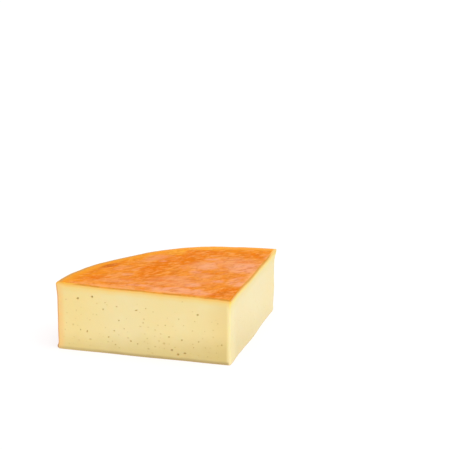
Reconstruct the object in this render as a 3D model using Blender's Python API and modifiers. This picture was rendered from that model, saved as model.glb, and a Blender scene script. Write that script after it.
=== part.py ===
"""A quarter of a low, semi-hard cheese wheel with a washed rind, as two wire cuts leave it.

Metres, +Z up. The wheel is first turned about its own axis, at x = y = 0, and then cut down to
the quarter with x < 0 and y > 0. One cut faces +X, the other faces -Y, and they meet in the tip,
on the wheel's axis. At the end the quarter is carried to its own frame: the origin is on the
surface it stands on, under the middle of its bounding box.
"""

import math

import bmesh
import bpy
import numpy as np
from mathutils import Matrix, Vector

# The wheel
WHEEL_RADIUS = 0.175
MIDDLE_HEIGHT = 0.0662  # the top is dished: lowest on the axis
RIM_HEIGHT = 0.0689
DISH_RADIUS = 0.160  # where the dish has climbed to the rim's height
SHOULDER_RADIUS = 0.0030
SHOULDER_FLARE = 0.0006  # the shoulder stands this far out over the side
FLARE_DEPTH = 0.012
FOOT_LIP = 0.0013  # the foot stands out again, where the young wheel sagged on its shelf
FOOT_LIP_HEIGHT = 0.0064
FOOT_RADIUS = 0.0028
TURN_STEPS = 208
DISH_STEPS = 14
SHOULDER_STEPS = 4
SIDE_STEPS = 14
FOOT_STEPS = 3

# Low waves of the top: (height, wavelength, heading in degrees, phase in degrees)
TOP_WAVES = (
    (0.00045, 0.165, 20, 162),
    (0.00025, 0.062, 105, 200),
    (0.00012, 0.041, 155, 20),
)
RIM_SAG = 0.0006  # the rim rises and falls slowly, most of all at the south cut
RIM_SAG_CREST = 0.020
RIM_SAG_LENGTH = 0.165
RIM_SAG_START = 0.105  # nearer to the axis the top keeps its height
RELIEF_FADE = 0.012  # the two reliefs fade out over this much of the rim
# Flutes down the side, from the cloth band: (depth, waves in a full turn, phase in degrees)
SIDE_WAVES = ((0.00022, 17, 40), (0.00018, 31, 250), (0.00014, 53, 110))

# The two wire cuts
TIP_RADIUS = 0.0019
TIP_SPREAD = {"east": 0.0013, "south": 0.0}  # at the tip the paste stands out with the rind
TIP_SPREAD_LENGTH = 0.030
RIND_FLARE = {"east": 0.0025, "south": 0.0008}  # the rind's edge springs out over the cut
RIND_FLARE_WAVE = {"east": 0.0005, "south": 0.0}  # and more in some places than in others
RIND_FLARE_WAVE_LENGTH = 0.180
RIND_FLARE_WAVE_START = 0.045
RIND_FLARE_DEPTH = 0.015
DRIFT = {"east": 0.0008, "south": 0.0}  # how far the wire has drifted out at the heel
BASE_BOW = {"east": 0.0012, "south": 0.0003}  # the wire bows out and in along the base
BASE_BOW_LENGTH = 0.230
BASE_BOW_HEIGHT = 0.030
WANDER = 0.0002
WANDER_LENGTHS = (0.070, 0.041)
CUT_FADE = 0.003  # how deep behind a cut the block's points still follow its bends
CUT_ROW = 0.007
CUT_COLUMN = 0.0195
BLOCK_REACH = 0.195
BLOCK_TOP = 0.078
BLOCK_DROP = 0.008

# Eyes, the small gas holes in the paste
# Those that can be told apart on the south cut, in millimetres and degrees:
# (distance from the tip, height, length, width, tilt)
CLEAR_EYES = (
    (153, 54, 2.9, 2.4, 30),
    (138, 57, 2.6, 2.4, 0),
    (127, 45, 2.0, 1.6, 60),
    (113, 49, 2.2, 1.1, -8),
    (93, 47, 3.1, 1.4, 15),
    (111, 35, 1.9, 1.6, 20),
    (151, 22, 1.9, 1.5, 60),
    (144, 21, 2.6, 1.7, 80),
    (116, 24, 1.9, 1.6, 0),
    (122, 17, 2.0, 1.7, 20),
    (115, 10, 2.1, 1.3, 0),
    (99, 15, 2.5, 1.7, -20),
    (92, 13, 1.9, 1.5, 0),
    (86, 35, 1.7, 1.3, 70),
    (31, 48, 2.4, 2.0, 0),
    (34, 41, 1.4, 1.1, 0),
    (50, 42, 1.6, 1.2, 10),
    (60, 23, 2.1, 1.7, 0),
    (47, 21, 2.0, 1.7, 30),
    (57, 10, 2.6, 2.2, 0),
    (51, 6, 2.8, 2.4, 0),
    (44, 8, 3.2, 1.8, 6),
    (30, 21, 1.8, 1.4, 70),
    (7, 20, 2.0, 1.6, 0),
)
FINE_EYES = {"south": 28, "east": 9}
FINE_EYE_SIZE = {"south": (0.0010, 0.0016), "east": (0.0008, 0.0012)}
EYE_SPACING = 0.0075
EYE_MARGIN = 0.006
EYE_INSET = 0.16  # an eye's middle lies this share of its length under the cut
EYE_SIDES = 8
EYE_RINGS = 6
EYE_SEED = 11

RIND_COLOUR = (0.90, 0.30, 0.065, 1.0)
PASTE_COLOUR = (0.87, 0.68, 0.31, 1.0)


def ease(value, low, high):
    """Goes from 0 at low to 1 at high along a smooth step."""
    t = np.clip((value - low) / (high - low), 0.0, 1.0)
    return t * t * (3.0 - 2.0 * t)


def dish_height(radius):
    """The top's height: a quarter of a sine from the middle to the dish's radius."""
    t = np.clip(radius / DISH_RADIUS, 0.0, 1.0)
    return MIDDLE_HEIGHT + (RIM_HEIGHT - MIDDLE_HEIGHT) * np.sin(0.5 * math.pi * t)


def side_radius(height):
    """The side: upright, standing out a little at the shoulder and at the foot."""
    flare_start = RIM_HEIGHT - SHOULDER_RADIUS
    flare = SHOULDER_FLARE * ease(height, flare_start - FLARE_DEPTH, flare_start)
    lip = FOOT_LIP * (1.0 - ease(height, FOOT_RADIUS, FOOT_LIP_HEIGHT))
    return WHEEL_RADIUS + flare + lip


def arc(centre, radius, start, end, steps):
    """Points on an arc in the profile's plane; angles in degrees from the outward direction."""
    angles = [math.radians(start + (end - start) * i / steps) for i in range(steps + 1)]
    return [(centre[0] + radius * math.cos(a), centre[1] + radius * math.sin(a)) for a in angles]


def wheel_profile():
    """Half of the wheel's section as (radius, height), from the top's middle down to the base's."""
    shoulder_height = RIM_HEIGHT - SHOULDER_RADIUS
    top_edge = side_radius(shoulder_height) - SHOULDER_RADIUS
    foot_edge = side_radius(FOOT_RADIUS) - FOOT_RADIUS
    points = []
    for i in range(DISH_STEPS):
        radius = top_edge * i / DISH_STEPS
        points.append((radius, float(dish_height(radius))))
    points += arc((top_edge, shoulder_height), SHOULDER_RADIUS, 90, 0, SHOULDER_STEPS)
    for i in range(1, SIDE_STEPS):
        height = shoulder_height - (shoulder_height - FOOT_RADIUS) * i / SIDE_STEPS
        points.append((float(side_radius(height)), height))
    points += arc((foot_edge, FOOT_RADIUS), FOOT_RADIUS, 0, -90, FOOT_STEPS)
    points.append((0.0, 0.0))
    return points


def top_relief(x, y):
    """Low dents of the top: a sum of straight waves with different headings, and the rim's sag."""
    total = np.zeros_like(x)
    for height, length, heading, phase in TOP_WAVES:
        along = x * math.cos(math.radians(heading)) + y * math.sin(math.radians(heading))
        total += height * np.sin(2.0 * math.pi * along / length + math.radians(phase))
    from_south = WHEEL_RADIUS * (math.pi - np.arctan2(y, x) % (2.0 * math.pi))
    sag = np.cos(2.0 * math.pi * (from_south - RIM_SAG_CREST) / RIM_SAG_LENGTH)
    share = np.clip(1.0 - from_south / (0.5 * math.pi * WHEEL_RADIUS), 0.0, 1.0)
    return total + RIM_SAG * share * sag * ease(np.hypot(x, y), RIM_SAG_START, WHEEL_RADIUS)


def side_relief(angle):
    """Shallow flutes of the side: a sum of waves round the wheel."""
    total = np.zeros_like(angle)
    for height, count, phase in SIDE_WAVES:
        total += height * np.sin(count * angle + math.radians(phase))
    return total


def cut_offset(side, along, height):
    """How far a cut stands out of its flat plane, at a distance from the tip and a height.

    The paste spreads at the tip, the rind's edge springs out at the top, and the wire drifts
    towards the heel, bows along the base and wanders.
    """
    top = dish_height(along)
    spread = TIP_SPREAD[side] * (1.0 - ease(along, 0.0, TIP_SPREAD_LENGTH))
    wave = np.sin(2.0 * math.pi * (along - RIND_FLARE_WAVE_START) / RIND_FLARE_WAVE_LENGTH)
    flare = RIND_FLARE[side] + RIND_FLARE_WAVE[side] * wave - spread
    flare = flare * ease(height, top - RIND_FLARE_DEPTH, top) + DRIFT[side] * along / WHEEL_RADIUS
    bow = BASE_BOW[side] * np.sin(2.0 * math.pi * along / BASE_BOW_LENGTH)
    bow = bow * (1.0 - ease(height, 0.0, BASE_BOW_HEIGHT))
    long_wave, short_wave = WANDER_LENGTHS
    wander = WANDER * np.sin(2.0 * math.pi * (along + 0.4 * height) / long_wave)
    wander = wander + 0.6 * WANDER * np.sin(2.0 * math.pi * (height - 0.3 * along) / short_wave)
    return spread + flare + bow + wander


def material(name, colour, roughness):
    mat = bpy.data.materials.new(name)
    mat.use_nodes = True
    shader = mat.node_tree.nodes["Principled BSDF"]
    shader.inputs["Base Color"].default_value = colour
    shader.inputs["Roughness"].default_value = roughness
    shader.inputs["Metallic"].default_value = 0.0
    mat.diffuse_color = colour
    return mat


def add_object(name, mesh, collection, mat):
    obj = bpy.data.objects.new(name, mesh)
    collection.objects.link(obj)
    mesh.materials.append(mat)
    return obj


def add_cutter(name, bm, collection, mat):
    """Puts a closed bmesh into the cutters' collection as a wire that isn't rendered."""
    bmesh.ops.triangulate(bm, faces=bm.faces)
    bmesh.ops.recalc_face_normals(bm, faces=bm.faces)
    mesh = bpy.data.meshes.new(name)
    bm.to_mesh(mesh)
    bm.free()
    obj = add_object(name, mesh, collection, mat)
    obj.hide_render = True
    obj.display_type = "WIRE"
    return obj


def turned_wheel(collection, mat):
    """The whole wheel: the profile turned with a Screw, then its skin moved by the relief."""
    points = wheel_profile()
    mesh = bpy.data.meshes.new("cheese_quarter")
    edges = [(i, i + 1) for i in range(len(points) - 1)]
    mesh.from_pydata([(r, 0.0, z) for r, z in points], edges, [])
    wheel = add_object("cheese_quarter", mesh, collection, mat)
    screw = wheel.modifiers.new("turn", "SCREW")
    screw.axis = "Z"
    screw.angle = 2.0 * math.pi
    screw.steps = TURN_STEPS
    screw.render_steps = TURN_STEPS
    screw.use_merge_vertices = True
    screw.merge_threshold = 0.0001

    graph = bpy.context.evaluated_depsgraph_get()
    turned = bpy.data.meshes.new_from_object(wheel.evaluated_get(graph))
    wheel.modifiers.remove(screw)
    wheel.data = turned
    bpy.data.meshes.remove(mesh)

    xyz = np.empty(3 * len(turned.vertices), dtype=np.float64)
    turned.vertices.foreach_get("co", xyz)
    x, y, z = xyz.reshape(-1, 3).T
    radius, angle = np.hypot(x, y), np.arctan2(y, x)
    top_share = ease(z, MIDDLE_HEIGHT - RELIEF_FADE, MIDDLE_HEIGHT)
    side_share = ease(radius, WHEEL_RADIUS - RELIEF_FADE, WHEEL_RADIUS) * ease(z, 0.0, FOOT_RADIUS)
    grown = 1.0 + side_share * side_relief(angle) / np.maximum(radius, RELIEF_FADE)
    moved = np.stack((x * grown, y * grown, z + top_share * top_relief(x, y)), axis=1)
    turned.vertices.foreach_set("co", moved.ravel())

    bm = bmesh.new()
    bm.from_mesh(turned)
    bmesh.ops.triangulate(bm, faces=bm.faces)
    bm.to_mesh(turned)
    bm.free()
    turned.update()
    return wheel


def slice_block(bm, axis, start, stop, step):
    """Cuts the block into strips square to an axis, so that its faces can bend."""
    normal = Vector((0.0, 0.0, 0.0))
    normal[axis] = 1.0
    for i in range(1, round((stop - start) / step)):
        geometry = bm.verts[:] + bm.edges[:] + bm.faces[:]
        bmesh.ops.bisect_plane(bm, geom=geometry, plane_co=normal * (start + i * step), plane_no=normal)


def wire_cut_block(collection, mat):
    """The quadrant that the two wires leave, with their bow and wander in its two inner faces."""
    bm = bmesh.new()
    size = Vector((BLOCK_REACH, BLOCK_REACH, BLOCK_TOP + BLOCK_DROP))
    middle = Vector((-BLOCK_REACH / 2, BLOCK_REACH / 2, (BLOCK_TOP - BLOCK_DROP) / 2))
    bmesh.ops.create_cube(bm, size=1.0, matrix=Matrix.Translation(middle) @ Matrix.Diagonal(size.to_4d()))
    tip = [e for e in bm.edges if all(abs(v.co.x) < 1e-6 and abs(v.co.y) < 1e-6 for v in e.verts)]
    bmesh.ops.bevel(bm, geom=tip, offset=TIP_RADIUS, segments=3, profile=0.5, affect="EDGES")
    slice_block(bm, 0, -BLOCK_REACH, 0.0, CUT_COLUMN)
    slice_block(bm, 1, 0.0, BLOCK_REACH, CUT_COLUMN)
    slice_block(bm, 2, -BLOCK_DROP, BLOCK_TOP, CUT_ROW)
    for vert in bm.verts:
        x, y, z = vert.co
        east_share = float(ease(x, -CUT_FADE, 0.0))
        south_share = float(ease(-y, -CUT_FADE, 0.0))
        vert.co.x += east_share * float(cut_offset("east", y, z))
        vert.co.y -= south_share * float(cut_offset("south", -x, z))
    return add_cutter("wire_cuts", bm, collection, mat)


def fine_eye_places(side, taken, rng):
    """Scatters small eyes over a cut: none near its rim, more of them towards the base."""
    low, high = FINE_EYE_SIZE[side]
    places = list(taken)
    while len(places) < len(taken) + FINE_EYES[side]:
        along = rng.uniform(EYE_MARGIN, WHEEL_RADIUS - EYE_MARGIN)
        height = rng.uniform(EYE_MARGIN, MIDDLE_HEIGHT - 2.0 * EYE_MARGIN)
        keep = rng.uniform() < 1.05 - height / MIDDLE_HEIGHT
        length = rng.uniform(low, high)
        width = length * rng.uniform(0.6, 1.0)
        tilt = rng.uniform(-90.0, 90.0)
        free = all(math.hypot(along - p[0], height - p[1]) > EYE_SPACING for p in places)
        if keep and free:
            places.append((along, height, length, width, tilt))
    return places


def eye_cutter(collection, mat):
    """One mesh of flattened spheres, each sunk a little into the cut that it opens."""
    rng = np.random.default_rng(EYE_SEED)
    clear = [(a / 1000, h / 1000, long / 1000, wide / 1000, tilt) for a, h, long, wide, tilt in CLEAR_EYES]
    places = {"south": fine_eye_places("south", clear, rng), "east": fine_eye_places("east", [], rng)}
    bm = bmesh.new()
    for side, eyes in places.items():
        facing = Matrix.Rotation(math.radians(90.0 if side == "east" else 0.0), 4, "Z")
        for along, height, length, width, tilt in eyes:
            middle = float(cut_offset(side, along, height)) - EYE_INSET * length
            spot = (middle, along, height) if side == "east" else (-along, -middle, height)
            turn = facing @ Matrix.Rotation(math.radians(-tilt), 4, "Y")
            form = Matrix.Diagonal((length / 2, length / 2, width / 2, 1.0))
            bmesh.ops.create_uvsphere(
                bm,
                u_segments=EYE_SIDES,
                v_segments=EYE_RINGS,
                radius=1.0,
                matrix=Matrix.Translation(spot) @ turn @ form,
            )
    return add_cutter("eyes", bm, collection, mat)


def add_boolean(obj, cutter, operation):
    boolean = obj.modifiers.new(cutter.name, "BOOLEAN")
    boolean.operation = operation
    boolean.object = cutter
    boolean.material_mode = "TRANSFER"


def stand_on_origin(obj, frame):
    """Carries the frame so that the origin is under the middle of the object's bounding box."""
    bpy.context.view_layer.update()
    graph = bpy.context.evaluated_depsgraph_get()
    corners = np.array([tuple(corner) for corner in obj.evaluated_get(graph).bound_box])
    low, high = corners.min(axis=0), corners.max(axis=0)
    frame.location = (-(low[0] + high[0]) / 2, -(low[1] + high[1]) / 2, -low[2])


def main():
    for obj in list(bpy.data.objects):
        bpy.data.objects.remove(obj, do_unlink=True)
    part = bpy.data.collections.new("cheese_quarter_wheel")
    cutters = bpy.data.collections.new("cutters")
    for collection in (part, cutters):
        bpy.context.scene.collection.children.link(collection)

    rind = material("washed_rind", RIND_COLOUR, 0.45)
    paste = material("paste", PASTE_COLOUR, 0.5)
    quarter = turned_wheel(part, rind)
    cuts = wire_cut_block(cutters, paste)
    eyes = eye_cutter(cutters, paste)
    add_boolean(quarter, cuts, "INTERSECT")
    add_boolean(quarter, eyes, "DIFFERENCE")

    frame = bpy.data.objects.new("wheel_axis", None)
    part.objects.link(frame)
    for obj in (quarter, cuts, eyes):
        obj.parent = frame
    stand_on_origin(quarter, frame)


main()
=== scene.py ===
import math

import bpy
import numpy as np
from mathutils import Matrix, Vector


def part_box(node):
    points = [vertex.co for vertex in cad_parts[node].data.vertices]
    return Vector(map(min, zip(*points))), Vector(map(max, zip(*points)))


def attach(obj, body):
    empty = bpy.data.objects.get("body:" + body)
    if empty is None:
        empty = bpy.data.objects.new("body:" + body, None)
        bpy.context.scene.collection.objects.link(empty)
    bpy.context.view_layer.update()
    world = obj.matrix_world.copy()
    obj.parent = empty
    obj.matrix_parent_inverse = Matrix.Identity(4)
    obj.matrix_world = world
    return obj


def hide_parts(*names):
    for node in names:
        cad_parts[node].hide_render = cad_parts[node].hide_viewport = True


# A quarter of a semi-hard cheese wheel on a pale floor, in metres. The shape is worked out round the
# wheel's axis, which stands in the quarter's tip at x = y = 0, and is carried to the frame's place at
# the end. The east cut faces +X, the south cut faces -Y
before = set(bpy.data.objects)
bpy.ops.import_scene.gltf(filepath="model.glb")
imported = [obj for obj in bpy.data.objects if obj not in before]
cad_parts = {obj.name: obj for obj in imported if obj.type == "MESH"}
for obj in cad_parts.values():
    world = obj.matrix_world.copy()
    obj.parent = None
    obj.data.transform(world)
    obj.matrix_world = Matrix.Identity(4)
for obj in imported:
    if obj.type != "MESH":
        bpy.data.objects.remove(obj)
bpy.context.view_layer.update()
scene = bpy.context.scene
nodeLow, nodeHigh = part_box("cheese_quarter")
print("frame: cheese_quarter is", [round(1000 * s, 1) for s in nodeHigh - nodeLow], "mm")

fullTurn = 2.0 * math.pi
quarterTurn = 0.5 * math.pi
mm = 0.001


# ease: 0 below low, 1 above high, and the smooth step 3tt - 2ttt between them
def ease(value, low, high):
    t = np.clip((value - low) / (high - low), 0.0, 1.0)
    return t * t * (3.0 - 2.0 * t)


# bend: how far a quarter of a circle has fallen at a share of its width, from 0 to 1
def bend(share):
    share = np.clip(share, 0.0, 1.0)
    return 1.0 - np.sqrt(1.0 - share * share)


# turned: how far points lie along a heading in degrees, and how far to the left of it
def turned(x, y, heading):
    c, s = math.cos(math.radians(heading)), math.sin(math.radians(heading))
    return x * c + y * s, y * c - x * s


# latticeNoise: seeded random values from -1 to 1 at the corners of square cells, blended by smooth steps
def latticeNoise(x, y, cell, seed):
    side = 64  # cells until the pattern comes again
    values = np.random.default_rng(seed).uniform(-1.0, 1.0, (side, side))
    column, row = np.floor(x / cell).astype(int), np.floor(y / cell).astype(int)
    across, along = ease(x / cell - column, 0.0, 1.0), ease(y / cell - row, 0.0, 1.0)

    # blended: the corners of one line of cells, blended across
    def blended(line):
        left, right = values[column % side, line % side], values[(column + 1) % side, line % side]
        return left * (1 - across) + right * across

    return blended(row) * (1 - along) + blended(row + 1) * along


# relief: the sum of lattice noises, each (size, stretch of x, stretch of y, cell, seed)
def relief(x, y, noises):
    return sum(size * latticeNoise(x * across, y * up, cell, seed) for size, across, up, cell, seed in noises)


wheel = {
    "radius": 0.175,
    "middleHeight": 0.0662,  # the top is dished: lowest on the axis
    "rimHeight": 0.0689,
    "dishRadius": 0.16,
    "shoulderWidth": 0.0034,  # the shoulder is a quarter of an ellipse
    "shoulderDrop": 0.0028,
    "shoulderFlare": 0.0006,
    "flareDepth": 0.012,
    "footLip": 0.0013,
    "footLipHeight": 0.0064,
    "footRadius": 0.0028,
    # low waves of the top: (height, wavelength, heading, phase), angles in degrees
    "topWaves": ((0.00045, 0.165, 20, 162), (0.00025, 0.062, 105, 200), (0.00012, 0.041, 155, 20)),
    "rimSag": 0.0006,  # the rim's slow rise and fall, strongest at the south cut
    "rimSagCrest": 0.02,
    "rimSagLength": 0.165,
    "rimSagStart": 0.6,  # a share of the radius
    # flutes of the side: (depth, waves in a full turn, phase)
    "sideWaves": ((0.00022, 17, 40), (0.00018, 31, 250), (0.00014, 53, 110)),
    # the side's upright creases, which the cloth band left, and its skin
    "sideRelief": (
        (0.00016, 1.0, 0.12, 0.005, 21), (0.000096, 1.0, 0.2, 0.0021, 22), (0.00006, 1.0, 1.0, 0.0034, 23),
    ),
    "brushHeading": 44.0,  # the washing brush's strokes over the top
    "brushRelief": ((0.0001, 0.25, 1.0, 0.0045, 31),),
    "topRelief": ((0.00006, 1.0, 1.0, 0.0026, 32),),
    "pits": 34,
    "pitReach": (0.02, 0.9),  # squares of shares of the radius, to spread them evenly
    "pitRadius": (0.00084, 0.00182),
    "pitDepth": (0.00012, 0.0003),
    "pitSeed": 5,
}

cuts = {
    "tipRadius": 0.0019,  # the soft paste of the tip is rounded
    "tipTopRadius": 0.001,  # the rind over it is less so
    "tipTopDepth": 0.01,
    "edgeRadius": 0.00035,  # all cut edges are this round
    "rindFlare": {"east": 0.0025, "south": 0.0008},  # the rind's edge springs out over the cut
    "flareWave": {"east": 0.0005, "south": 0.0},  # and more in some places than in others
    "flareWaveLength": 0.18,
    "flareWaveStart": 0.045,
    "rindFlareDepth": 0.015,
    "tipSpread": {"east": 0.0013, "south": 0.0},  # at the tip the paste stands out with the rind
    "tipSpreadLength": 0.03,
    "drift": {"east": 0.0008, "south": 0.0},  # how far the wire has drifted out at the heel
    "baseBow": {"east": 0.0012, "south": 0.0003},
    "baseBowLength": 0.23,
    "baseBowHeight": 0.03,
    # the wire's wander: (size, share of the way along, share of the height, wavelength)
    "wanders": ((0.0002, 1.0, 0.4, 0.07), (0.00012, -0.3, 1.0, 0.041)),
    # lines that the wire drew along the paste, and shallow dents
    "relief": {
        "east": ((0.000035, 0.05, 1.0, 0.0023, 41), (0.0001, 1.0, 1.4, 0.019, 42)),
        "south": ((0.000035, 0.05, 1.0, 0.0023, 51), (0.0001, 1.0, 1.4, 0.019, 52)),
    },
}


# dishHeight: a quarter of a sine from the middle's height to the rim's
def dishHeight(radius):
    t = np.clip(radius / wheel["dishRadius"], 0.0, 1.0)
    return wheel["middleHeight"] + (wheel["rimHeight"] - wheel["middleHeight"]) * np.sin(quarterTurn * t)


# heelRadius: the wheel's radius, plus the shoulder's flare, the foot's lip, the flutes, creases and skin
def heelRadius(height, angle):
    flareStart = wheel["rimHeight"] - wheel["shoulderDrop"]
    flare = wheel["shoulderFlare"] * ease(height, flareStart - wheel["flareDepth"], flareStart)
    lip = wheel["footLip"] * (1.0 - ease(height, wheel["footRadius"], wheel["footLipHeight"]))
    waves = wheel["sideWaves"]
    flutes = sum(depth * np.sin(count * angle + math.radians(phase)) for depth, count, phase in waves)
    skin = relief(angle * wheel["radius"], height, wheel["sideRelief"])
    return wheel["radius"] + flare + lip + flutes + skin


# topPits: small round dimples, each a smooth step of the distance to its middle
def topPits(x, y):
    rng = np.random.default_rng(wheel["pitSeed"])
    total = np.zeros_like(x)
    for _ in range(wheel["pits"]):
        angle = rng.uniform(0.0, quarterTurn)
        reach = wheel["radius"] * math.sqrt(rng.uniform(*wheel["pitReach"]))
        radius = rng.uniform(*wheel["pitRadius"])
        distance = np.hypot(x + reach * math.sin(angle), y - reach * math.cos(angle))
        total -= rng.uniform(*wheel["pitDepth"]) * (1.0 - ease(distance, 0.0, radius))
    return total


# topHeight: the dish plus waves, the rim's sag, brush strokes, skin and pits, less the shoulder's ellipse
def topHeight(x, y):
    radius, angle = np.hypot(x, y), np.arctan2(y, x) % fullTurn
    height = dishHeight(radius)
    for depth, length, heading, phase in wheel["topWaves"]:
        along, _ = turned(x, y, heading)
        height = height + depth * np.sin(fullTurn * along / length + math.radians(phase))
    arc = wheel["radius"] * (math.pi - angle)
    sag = np.cos(fullTurn * (arc - wheel["rimSagCrest"]) / wheel["rimSagLength"])
    share = np.clip(1.0 - arc / (quarterTurn * wheel["radius"]), 0.0, 1.0)
    outward = ease(radius, wheel["rimSagStart"] * wheel["radius"], wheel["radius"])
    height = height + wheel["rimSag"] * share * sag * outward
    height = height + relief(*turned(x, y, wheel["brushHeading"]), wheel["brushRelief"])
    height = height + relief(x, y, wheel["topRelief"]) + topPits(x, y)
    rim = heelRadius(wheel["rimHeight"] - wheel["shoulderDrop"], angle)
    return height - wheel["shoulderDrop"] * bend((radius - rim) / wheel["shoulderWidth"] + 1.0)


# baseHeight: flat, with a round foot at the rim
def baseHeight(x, y):
    foot = wheel["footRadius"]
    rim = heelRadius(foot, np.arctan2(y, x) % fullTurn)
    return foot * bend((np.hypot(x, y) - rim) / foot + 1.0)


# cutOffset: how far a cut stands out of its flat plane, which is the sum of the spread at the tip, the
# rind's flare, the wire's drift, its bow along the base, its wander, and the fine lines and dents
def cutOffset(side, along, height):
    top = dishHeight(along)
    wave = np.sin(fullTurn * (along - cuts["flareWaveStart"]) / cuts["flareWaveLength"])
    spread = cuts["tipSpread"][side] * (1.0 - ease(along, 0.0, cuts["tipSpreadLength"]))
    flare = cuts["rindFlare"][side] + cuts["flareWave"][side] * wave - spread
    offset = spread + flare * ease(height, top - cuts["rindFlareDepth"], top)
    offset = offset + cuts["drift"][side] * along / wheel["radius"]
    bow = cuts["baseBow"][side] * np.sin(fullTurn * along / cuts["baseBowLength"])
    offset = offset + bow * (1.0 - ease(height, 0.0, cuts["baseBowHeight"]))
    for size, alongShare, upShare, length in cuts["wanders"]:
        offset = offset + size * np.sin(fullTurn * (alongShare * along + upShare * height) / length)
    return offset + relief(along, height, cuts["relief"][side])


mesh = {
    "eastStep": 0.00115,
    "heelStep": 0.0013,
    "southStep": 0.00095,
    "wallStep": 0.00105,
    "tipSteps": 6,
    "edgeSteps": (0.00035, 0.0008, 0.0014, 0.0022, 0.0031),  # finer columns towards a corner
    # rings of the top and the base by their distance from the outline
    "rimRings": (
        0.00005, 0.00018, 0.0004, 0.0007, 0.0011, 0.0017, 0.0025, 0.0034, 0.0045, 0.0058, 0.0073, 0.009
    ),
    "ringLimit": 0.9,  # they go at most this share of the way to the middle
    "innerRings": 38,
    "baseRings": 6,
    "middle": (-0.072, 0.072),  # the pole of the top and of the base
    "settleRounds": 3,
    "sharpAngle": 40.0,
}


# stations: places from 0 to 1 along a length, evenly stepped, finer at the ends that are asked for
def stations(length, step, fineStart, fineEnd):
    fine = np.array((0.0, *mesh["edgeSteps"]))
    start = fine if fineStart else fine[:1]
    end = length - (fine if fineEnd else fine[:1])[::-1]
    count = max(2, round((end[0] - start[-1]) / step))
    return np.concatenate((start, np.linspace(start[-1], end[0], count + 1)[1:-1], end)) / length


eastPlaces = stations(wheel["radius"], mesh["eastStep"], False, True)
heelPlaces = stations(quarterTurn * wheel["radius"], mesh["heelStep"], True, True)[1:-1]
southPlaces = stations(wheel["radius"], mesh["southStep"], True, False)
tipPlaces = (np.arange(mesh["tipSteps"] - 1) + 1) / mesh["tipSteps"]
columnEnds = np.cumsum([len(places) for places in (eastPlaces, heelPlaces, southPlaces, tipPlaces)])
cornerColumns = [columnEnds[0] - 1, columnEnds[1]]
cutShare = np.ones(columnEnds[-1])  # 1 in the columns of the cuts, whose edges are rounded, 0 in the heel's
cutShare[columnEnds[0] : columnEnds[1]] = 0.0
cutShare[cornerColumns] = 0.5


# tipRadius: full in the paste, and a smooth step down to the rind's over the top of the edge
def tipRadius(height):
    top = wheel["middleHeight"]
    share = ease(height, top - cuts["tipTopDepth"], top)
    return cuts["tipRadius"] + (cuts["tipTopRadius"] - cuts["tipRadius"]) * share


# planAround: x and y of the outline at given heights (rows by columns), anticlockwise from the tip: the east
# cut to the heel's circle, round the heel, back along the south cut, and a quarter circle round the tip
def planAround(z):
    zEast, zHeel, zSouth, zTip = np.split(z, columnEnds[:-1], axis=1)

    # ends: how far from the axis a cut starts, past the round tip, and where it meets the heel's circle
    def ends(side, other, z, angle):
        rim = heelRadius(z, angle)
        return tipRadius(z) - cutOffset(other, 0.0, z), np.sqrt(rim**2 - cutOffset(side, rim, z) ** 2)

    start, end = ends("east", "south", zEast, quarterTurn)
    yEast = start + (end - start) * eastPlaces
    start, end = ends("south", "east", zSouth, math.pi)
    xSouth = -end + (end - start) * southPlaces
    start = np.arccos(cutOffset("east", wheel["radius"], zHeel) / wheel["radius"])
    end = math.pi + np.arcsin(cutOffset("south", wheel["radius"], zHeel) / wheel["radius"])
    angle = start + (end - start) * heelPlaces
    around = heelRadius(zHeel, angle)
    turn = quarterTurn * (tipPlaces - 1.0)
    xTip = cutOffset("east", 0.0, zTip) - tipRadius(zTip) * (1.0 - np.cos(turn))
    yTip = -cutOffset("south", 0.0, zTip) + tipRadius(zTip) * (1.0 + np.sin(turn))

    east, south = (cutOffset("east", yEast, zEast), yEast), (xSouth, -cutOffset("south", -xSouth, zSouth))
    heel = (around * np.cos(angle), around * np.sin(angle))
    plan = np.concatenate((east, heel, south, (xTip, yTip)), axis=2)
    for corner in cornerColumns:  # a corner column goes half way to its neighbours' middle
        plan[..., corner] = 0.5 * plan[..., corner] + 0.25 * (plan[..., corner - 1] + plan[..., corner + 1])
    return plan


# capRings: rings that go in from the outline, by the rim's distances first and then evenly to the middle.
# It gives x, y and the distance from the outline, rows by columns
def capRings(outline, inner):
    toMiddle = np.array(mesh["middle"])[:, None] - outline
    reach = np.hypot(*toMiddle)
    shares = [np.minimum(distance / reach, mesh["ringLimit"]) for distance in mesh["rimRings"]]
    last = shares[-1]
    shares += [last + (1.0 - last) * (i / (inner + 1)) for i in range(1, inner + 1)]
    return (*(outline[:, None] + np.array(shares) * toMiddle[:, None]), np.array(shares) * reach)


# closedShell: vertices and faces of rings by columns that close on themselves, with a pole at each end
def closedShell(x, y, z, firstPole, lastPole):
    rings, columns = x.shape
    points = np.stack((x, y, z), axis=-1).reshape(-1, 3)
    points = np.concatenate((points, [firstPole, lastPole]))
    here = np.arange(rings * columns).reshape(rings, columns)
    beside = np.roll(here, -1, axis=1)
    quads = np.stack((here[:-1], here[1:], beside[1:], beside[:-1]), axis=-1).reshape(-1, 4)
    first = np.stack((np.full(columns, rings * columns), here[0], beside[0]), axis=-1)
    last = np.stack((np.full(columns, rings * columns + 1), beside[-1], here[-1]), axis=-1)
    return points, quads, np.concatenate((first, last))


# settledEdge: an edge's height and its place in plan depend on each other, and settle in a few rounds
def settledEdge(start, heightAt):
    z = np.full((1, columnEnds[-1]), start)
    for _ in range(mesh["settleRounds"]):
        z = heightAt(*planAround(z))
    return z


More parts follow.
